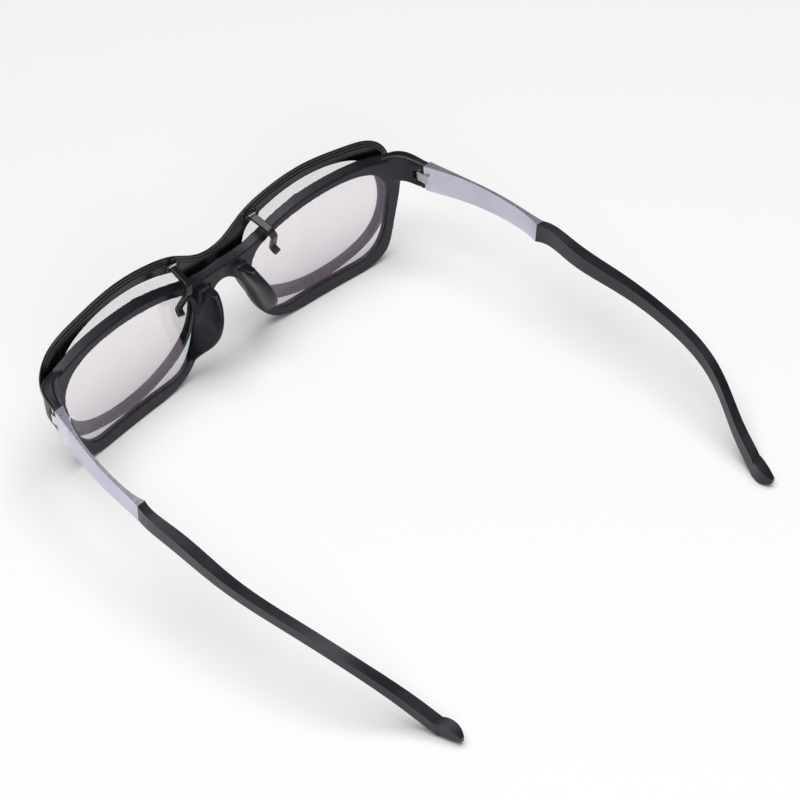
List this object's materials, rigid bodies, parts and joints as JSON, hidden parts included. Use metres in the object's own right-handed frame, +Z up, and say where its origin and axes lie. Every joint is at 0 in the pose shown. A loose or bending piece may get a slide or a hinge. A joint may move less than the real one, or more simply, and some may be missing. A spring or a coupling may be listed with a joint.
{
  "type": "spectacles with flip-up clip-on lenses",
  "caption": "Full-rim spectacles with metal temples and dark plastic tips, carrying a hook-on tinted lens clip that flips up and lifts off.",
  "frame": {"origin": "bottom centre of the whole object's box, on the surface that the rims and temple tips rest on", "axes": "+X to the wearer's left, +Y from the front back along the temples, +Z up"},
  "size_m": [0.1522, 0.1528, 0.0454],
  "materials": {
    "front_plastic": "matte black moulded nylon",
    "clip_plastic": "satin black moulded nylon",
    "clear_lens": "clear, with a faint violet anti-reflection coat",
    "tinted_lens": "pale pinkish grey tint",
    "brushed_aluminium": "brushed, pale lilac-grey anodised",
    "tip_plastic": "satin black",
    "hook_coat": "black coated spring metal",
    "steel": "plain",
    "brass": "plain"
  },
  "bodies": {
    "front": {"front_frame": "front_plastic", "lens_left": "clear_lens", "lens_right": "clear_lens", "hinge_screw_left": "steel", "hinge_screw_right": "steel", "hinge_insert_left": "brass", "hinge_insert_right": "brass"},
    "temple_left": {"temple_arm_left": "brushed_aluminium", "temple_tip_left": "tip_plastic", "tip_core_left": "steel"},
    "temple_right": {"temple_arm_right": "brushed_aluminium", "temple_tip_right": "tip_plastic", "tip_core_right": "steel"},
    "hooks": {"hook_left": "hook_coat", "hook_right": "hook_coat"},
    "clip": {"clip_frame": "clip_plastic", "clip_lens_left": "tinted_lens", "clip_lens_right": "tinted_lens", "pivot_pin_left": "steel", "pivot_pin_right": "steel"}
  },
  "joints": [
    {"name": "temple_left_fold", "type": "hinge", "parent": "front", "child": "temple_left", "pos_m": [0.0679, -0.06088, 0.0298], "axis": [0, 0, 1], "range_deg": [0, 85]},
    {"name": "temple_right_fold", "type": "hinge", "parent": "front", "child": "temple_right", "pos_m": [-0.0679, -0.06088, 0.0298], "axis": [0, 0, -1], "range_deg": [0, 76]},
    {"name": "clip_lift_off", "type": "slide", "parent": "front", "child": "hooks", "axis": [0, 0, 1], "range_m": [0, 0.052]},
    {"name": "clip_flip", "type": "hinge", "parent": "hooks", "child": "clip", "pos_m": [0, -0.07393, 0.04], "axis": [-1, 0, 0], "range_deg": [0, 75]}
  ]
}
